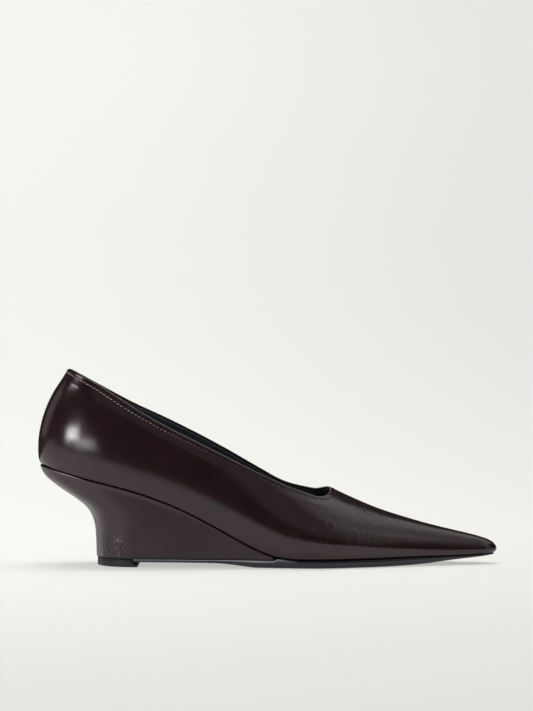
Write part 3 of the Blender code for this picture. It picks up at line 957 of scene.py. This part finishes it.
def lift_finish():
    """Moulded rubber."""
    f = Finish("moulded_lift_rubber")
    f.set(Roughness=0.52, IOR=1.5)
    shade = f.noise(300.0, 4.0, 0.6)
    f.feed("Base Color", f.mottled(shade, (0.0110, 0.0110, 0.0115), (0.0180, 0.0180, 0.0185)))
    f.bump(f.noise(2200.0, 3.0, 0.6), 0.25, 0.0001)
    return f.made


def thread_finish(name, roughness, reach, colours):
    """Thread whose colour changes along the shoe, between the two places of its reach."""
    f = Finish(name)
    f.set(Roughness=roughness)
    stops = [(k / (len(colours) - 1), colour) for k, colour in enumerate(colours)]
    f.feed("Base Color", f.ramp(f.between(f.part("X"), *reach), stops))
    return f.made


# Pale at the heel and darker forward
TOP_THREAD_COLOURS = ((0.560, 0.400, 0.360), (0.300, 0.200, 0.190), (0.050, 0.028, 0.030))
TOP_THREAD_REACH = (-0.100, -0.020)
# Dark at the back and pale only near the throat
LINING_THREAD_COLOURS = ((0.045, 0.045, 0.048), (0.420, 0.390, 0.380))
LINING_THREAD_REACH = (-0.002, 0.018)

UPPER_LEATHER = upper_finish()
LINING_LEATHER = lining_finish()
WEDGE_LEATHER = wedge_finish()
SOLE_LEATHER = sole_finish()
LIFT_RUBBER = lift_finish()
THREAD = thread_finish("waxed_top_thread", 0.5, TOP_THREAD_REACH, TOP_THREAD_COLOURS)
LINING_THREAD = thread_finish(
    "grey_lining_thread", 0.55, LINING_THREAD_REACH, LINING_THREAD_COLOURS
)

# The line of stitches: how far below the topline it runs, by station
STITCH_COLUMNS = ("station", "distance")
STITCH_ROWS = ((16.0, 1.5), (30.0, 2.3), (48.0, 2.6), (90.0, 2.1), (258.0, 2.1))
STITCH_LINE_BLUR = 3.0
stitch_line = reader(STITCH_COLUMNS, STITCH_ROWS, STITCH_LINE_BLUR)

# Painted highlights: the crown of the topline, the lip of the wedge and the edge of the sole
RIM_HIGHLIGHT_STATION = 28.0
RIM_HIGHLIGHT_FADE = 16.0
LIP_HIGHLIGHT_STATION = 17.5
LIP_HIGHLIGHT_REACH = 7.0
LIP_HIGHLIGHT_DEPTH = 0.3
LIP_HIGHLIGHT_SPREAD = 0.4
LIP_HIGHLIGHT_GAIN = 1.3
EDGE_HIGHLIGHT_SHARE = 0.15
EDGE_HIGHLIGHT_SPREAD = 0.13
EDGE_HIGHLIGHT_GAIN = 1.2
EDGE_HIGHLIGHT_END = WEDGE_TIP_STATION + 14.0
EDGE_HIGHLIGHT_FADE = 20.0


def painted_rim_highlight(body):
    """Painted highlight: 1 on the crown of the rounded topline, from ahead of the heel forward, and
    0 on the skin.
    """
    out = np.zeros(len(body.points))
    fade = part_of_one((LOOP_POINTS[:, 0] - RIM_HIGHLIGHT_STATION) / RIM_HIGHLIGHT_FADE)
    for ring, wear in enumerate(RIM_HIGHLIGHT_SHARES):
        start = 2 * len(SKIN_POINTS) + ring * len(LOOP)
        out[start : start + len(LOOP)] = fade * wear
    return out


def painted_lip_highlight(points):
    """Painted highlight: 1 on a short length of the wedge's rolled lip at the back, and 0
    elsewhere.
    """
    below_top = seat_height(points[:, 0]) - CLEAR - points[:, 2]
    on_lip = part_of_one(1 - np.abs(below_top - LIP_HIGHLIGHT_DEPTH) / LIP_HIGHLIGHT_SPREAD)
    along = np.abs(points[:, 0] - LIP_HIGHLIGHT_STATION) / LIP_HIGHLIGHT_REACH
    return on_lip * part_of_one(LIP_HIGHLIGHT_GAIN - along)


def painted_edge_highlight(points):
    """Painted highlight: 1 on the top edge of the sole under the wedge, and 0 elsewhere."""
    high = np.array([sole_top(x) for x in points[:, 0]])
    down = (high - points[:, 2]) / (high - sole_bottom(points[:, 0]))
    on_edge = part_of_one(EDGE_HIGHLIGHT_GAIN - np.abs(down - EDGE_HIGHLIGHT_SHARE) / EDGE_HIGHLIGHT_SPREAD)
    return on_edge * part_of_one((EDGE_HIGHLIGHT_END - points[:, 0]) / EDGE_HIGHLIGHT_FADE)


# Upper: leather over lining, both rounded at the topline
FOOT_TURN_IN = 0.5
LINING_GAP = 0.02
LINING_DROP = 0.9

leather = shell(0.0, LEATHER, 0.0, FOOT_TURN_IN)
leather_points = np.array(leather.points)
upper_leather = leather.piece(
    "upper_leather",
    UPPER_LEATHER,
    {
        "edge": edge_distance(leather_points),
        "stitch_at": stitch_line("distance", leather_points[:, 0]),
        "rim": painted_rim_highlight(leather),
    },
)
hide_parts("upper")

lining = shell(LEATHER + LINING_GAP, WALL, LINING_DROP, 0.0).piece("lining", LINING_LEATHER)

sock = insole_body().piece("insole_sock", LINING_LEATHER)
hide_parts("insole")

# Wedge, sole and lift
wedge_shape = wedge_body()
lip_highlight = painted_lip_highlight(np.array(wedge_shape.points))
covered_wedge = wedge_shape.piece("covered_wedge", WEDGE_LEATHER, {"painted_highlight": lip_highlight})
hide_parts("wedge")

sole_shape = outsole_body()
edge_highlight = painted_edge_highlight(np.array(sole_shape.points))
leather_sole = sole_shape.piece("leather_sole", SOLE_LEATHER, {"painted_highlight": edge_highlight})
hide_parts("outsole")

rubber_lift = heel_lift_body().piece("rubber_lift", LIFT_RUBBER)
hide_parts("heel_lift")


# Stitching round the topline
NEAR_CORNERS = 6
NEAREST_SQUARE = 0.01
STITCH_PITCH = 2.3
STITCH_LENGTH = 1.5
STITCH_RADIUS = 0.24
STITCH_SLANT = 0.22
STITCH_EASE = 0.12
END_FACING = 0.9


def skin_point_near(target):
    """The target dropped onto the outside skin, with the skin's normal there."""
    gap = ((SKIN_POINTS - target) ** 2).sum(1)
    near = np.argsort(gap)[:NEAR_CORNERS]
    weight = 1 / (gap[near] + NEAREST_SQUARE)
    weight /= weight.sum()
    normal = unit((SKIN_NORMALS[near] * weight[:, None]).sum(0))
    centre = (SKIN_POINTS[near] * weight[:, None]).sum(0)
    return target - normal * ((target - centre) @ normal), normal


def thread_bar(name, finish):
    """One stitch at the origin, along X: a short rod of thread with eased ends."""
    bpy.ops.object.select_all(action="DESELECT")
    bpy.ops.mesh.primitive_cylinder_add(
        vertices=8,
        radius=STITCH_RADIUS * MM,
        depth=STITCH_LENGTH * MM,
        rotation=(0.0, math.pi / 2, 0.0),
    )
    bpy.ops.object.transform_apply(location=True, rotation=True, scale=True)
    bar = bpy.context.active_object
    bar.name = name
    bar.data.name = name
    for face in bar.data.polygons:
        face.select = abs(face.normal.x) > END_FACING
    bpy.ops.object.mode_set(mode="EDIT")
    bpy.ops.mesh.bevel(offset=STITCH_EASE * MM, segments=2, affect="EDGES")
    bpy.ops.object.mode_set(mode="OBJECT")
    bpy.ops.object.shade_smooth()
    bar.data.materials.append(finish)
    return bar


def stitch_places(depth):
    """Middle, run and lift of each stitch, at its distance below the topline."""
    line = []
    for point, normal, up in zip(LOOP_POINTS, LOOP_NORMALS, LOOP_UP):
        below = point - up * stitch_line("distance", point[0])
        line.append(skin_point_near(below)[0] - normal * depth)
    line = np.array(line + [line[0]])
    lengths = np.concatenate(([0], np.cumsum(np.linalg.norm(np.diff(line, axis=0), axis=1))))
    total = lengths[-1]
    number = int(total / STITCH_PITCH)
    found = []
    for k in range(number):
        middle = (k + 0.5) * total / number
        ends = []
        for at in (middle - STITCH_LENGTH / 2, middle + STITCH_LENGTH / 2):
            ends.append(np.array([np.interp(at % total, lengths, line[:, c]) for c in range(3)]))
        a, b = ends
        normal = skin_point_near((a + b) / 2)[1] * (-1 if depth else 1)
        slant = unit(np.cross(normal, b - a)) * STITCH_SLANT
        run = unit((b + slant) - (a - slant))
        found.append(((a + b) / 2, run, unit(normal - run * (normal @ run))))
    return found


def stitching(name, finish, depth):
    """The whole seam: the one stitch copied to each place, then joined into one piece."""
    bar = thread_bar(name, finish)
    seam = []
    for middle, run, lift in stitch_places(depth):
        side = np.cross(lift, run)
        put = Matrix.Identity(4)
        for column, vector in enumerate((run, side, lift, (middle - SHOE_CENTRE) * MM)):
            for row in range(3):
                put[row][column] = vector[row]
        copy = bar.copy()
        copy.data = bar.data.copy()
        copy.data.transform(put)
        bpy.context.scene.collection.objects.link(copy)
        seam.append(copy)
    bpy.data.objects.remove(bar)
    bpy.ops.object.select_all(action="DESELECT")
    for copy in seam:
        copy.select_set(True)
    bpy.context.view_layer.objects.active = seam[0]
    bpy.ops.object.join()
    made = bpy.context.active_object
    made.name = name
    made.data.name = name
    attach(made, "root")
    return made


topline_stitches = stitching("topline_stitches", THREAD, 0.0)
lining_stitches = stitching("lining_stitches", LINING_THREAD, WALL)


# Studio: a pale sweep, soft light and the photo's camera
PAPER_GLOW = 0.555
GLOW_LOST_RIGHT = 0.18
GLOW_GAINED_UP = 0.11


def paper_finish():
    """Pale paper that glows a little, brighter to the left and higher up."""
    f = Finish("studio_paper")
    f.set(Roughness=0.9, Base_Color=(0.56, 0.56, 0.545, 1.0), Specular_IOR_Level=0.0)
    f.set(Emission_Color=(1.0, 1.0, 0.955, 1.0))
    to_right = f.between(f.part("X"), -0.50, 0.50)
    upward = f.between(f.part("Z"), 0.10, 0.60)
    glow = f.math("SUBTRACT", PAPER_GLOW, f.times(to_right, GLOW_LOST_RIGHT))
    f.feed("Emission Strength", f.math("ADD", glow, f.times(upward, GLOW_GAINED_UP)))
    return f.made


HALF_PAPER = 3.0
TABLE_EDGE = -0.24
PAPER_FRONT = -0.85
PAPER_TURN = 0.28
PAPER_RADIUS = 2.0
PAPER_TOP = 3.2
PAPER_START = 0.02
SAME_PLACE = 1e-6


def sheet_of_paper(name, near, far, finish):
    """A flat sheet on the floor from near to far."""
    bpy.ops.object.select_all(action="DESELECT")
    bpy.ops.mesh.primitive_plane_add(size=1.0, location=(0.0, (near + far) / 2, 0.0))
    made = bpy.context.active_object
    made.name = name
    made.data.name = name
    made.scale = (2 * HALF_PAPER, far - near, 1.0)
    bpy.ops.object.transform_apply(location=True, rotation=True, scale=True)
    made.data.materials.append(finish)
    return made


def hang_backdrop(sheet):
    """Turn the far edge of the sheet up on a round curve, then straight up."""
    corners = sheet.data.vertices
    far = max(corner.co.y for corner in corners)
    for face in sheet.data.polygons:
        face.select = False
    for corner in corners:
        corner.select = abs(corner.co.y - far) < SAME_PLACE
    for edge in sheet.data.edges:
        edge.select = all(corners[number].select for number in edge.vertices)
    bpy.ops.object.mode_set(mode="EDIT")
    bpy.ops.mesh.select_mode(type="EDGE")
    middle = (0.0, far, PAPER_RADIUS)
    bpy.ops.mesh.spin(steps=32, angle=math.pi / 2, center=middle, axis=(-1.0, 0.0, 0.0))
    rise = (0.0, 0.0, PAPER_TOP - PAPER_RADIUS)
    bpy.ops.mesh.extrude_region_move(TRANSFORM_OT_translate={"value": rise})
    bpy.ops.object.mode_set(mode="OBJECT")
    bpy.ops.object.shade_smooth()


def sweep():
    """Floor and backdrop. The leather mirrors only the floor round the shoe."""
    finish = paper_finish()
    sheet_of_paper("floor_round_the_shoe", TABLE_EDGE, PAPER_TURN, finish)
    backdrop = sheet_of_paper("backdrop", PAPER_TURN, PAPER_TURN + PAPER_START, finish)
    hang_backdrop(backdrop)
    near_floor = sheet_of_paper("near_floor", PAPER_FRONT, TABLE_EDGE, finish)
    for sheet in (backdrop, near_floor):
        sheet.visible_glossy = False


COOL_GREEN = (0.94, 1.0, 0.94)
WARM_GREEN = (0.97, 1.0, 0.93)
# Area lights: name, where, towards, size, radiance, then spread in degrees and colour
SOFTBOXES = (
    ("overhead_back", (0.75, 0.90, 1.6), (0.75, 0.90, 0.0), (2.4, 0.9), 0.90),
    ("overhead_front", (0.75, 0.0, 1.6), (0.75, 0.0, 0.0), (2.4, 0.9), 0.54),
    ("overhead_edge", (0.3, -0.65, 1.6), (0.3, -0.65, 0.0), (1.0, 0.4), 0.30),
    ("front_haze", (0.23, -1.24, 1.06), (0.0, -0.02, 0.04), (2.0, 1.0), 0.22),
    ("overhead_core", (-0.1, 0.30, 1.5), (-0.1, 0.30, 0.0), (1.2, 0.3), 8.0),
    ("right_panel", (1.25, -0.42, 0.75), (0.07, -0.02, 0.20), (0.65, 1.4), 0.50, 180.0, WARM_GREEN),
    (
        "heel_window", (-0.402, -0.298, 0.081), (-0.108, -0.028, 0.073),
        (0.13, 0.06), 1.45, 50.0, COOL_GREEN,
    ),
    (
        "heel_window_side", (-0.206, -0.202, 0.050), (-0.100, -0.029, 0.066),
        (0.10, 0.030), 0.20, 34.0, COOL_GREEN,
    ),
    ("left_panel", (-1.10, 0.45, 0.36), (-0.12, -0.02, 0.085), (0.55, 0.50), 0.40),
    ("collar_window", (-0.904, -0.204, 0.676), (-0.106, -0.020, 0.102), (0.45, 0.06), 1.4, 60.0),
)


def softbox(name, where, towards, size, radiance, spread=180.0, colour=(1.0, 1.0, 1.0)):
    """A square-cornered area light, its power worked out from how bright its face looks."""
    data = bpy.data.lights.new(name, "AREA")
    data.shape = "RECTANGLE"
    data.size, data.size_y = size
    data.energy = radiance * math.pi * size[0] * size[1]
    data.spread = math.radians(spread)
    data.color = colour
    made = bpy.data.objects.new(name, data)
    made.location = where
    aim = Vector(towards) - Vector(where)
    made.rotation_euler = aim.to_track_quat("-Z", "Y").to_euler()
    bpy.context.scene.collection.objects.link(made)


sweep()
for row in SOFTBOXES:
    softbox(*row)


AIR_SEEN = 0.78
AIR_AS_LIGHT = 0.03


def studio_air():
    """Pale where it is seen past the paper, and almost dark as a light on the leather."""
    air = bpy.data.worlds.new("studio_air")
    air.use_nodes = True
    nodes, links = air.node_tree.nodes, air.node_tree.links
    pale = nodes.new("ShaderNodeBackground")
    pale.inputs["Color"].default_value = (1.0, 1.0, 0.96, 1.0)
    pale.inputs["Strength"].default_value = AIR_SEEN
    dim = nodes["Background"]
    dim.inputs["Color"].default_value = (1.0, 0.97, 0.98, 1.0)
    dim.inputs["Strength"].default_value = AIR_AS_LIGHT
    either = nodes.new("ShaderNodeMixShader")
    links.new(nodes.new("ShaderNodeLightPath").outputs["Is Camera Ray"], either.inputs["Fac"])
    links.new(dim.outputs["Background"], either.inputs[1])
    links.new(pale.outputs["Background"], either.inputs[2])
    links.new(either.outputs["Shader"], nodes["World Output"].inputs["Surface"])
    bpy.context.scene.world = air


studio_air()
bpy.context.scene.view_settings.view_transform = "Standard"

CAMERA_HEIGHT = 0.117
CAMERA_DISTANCE = 1.360
CAMERA_ALONG = -0.0007
FOCAL_LENGTH = 122.4
SENSOR = 36.0
camera_data = bpy.data.cameras.new("photo_camera")
camera_data.lens = FOCAL_LENGTH
camera_data.sensor_width = SENSOR
camera = bpy.data.objects.new("photo_camera", camera_data)
camera.location = (CAMERA_ALONG, -CAMERA_DISTANCE, CAMERA_HEIGHT)
camera.rotation_euler = (math.pi / 2, 0.0, 0.0)
bpy.context.scene.collection.objects.link(camera)
bpy.context.scene.camera = camera
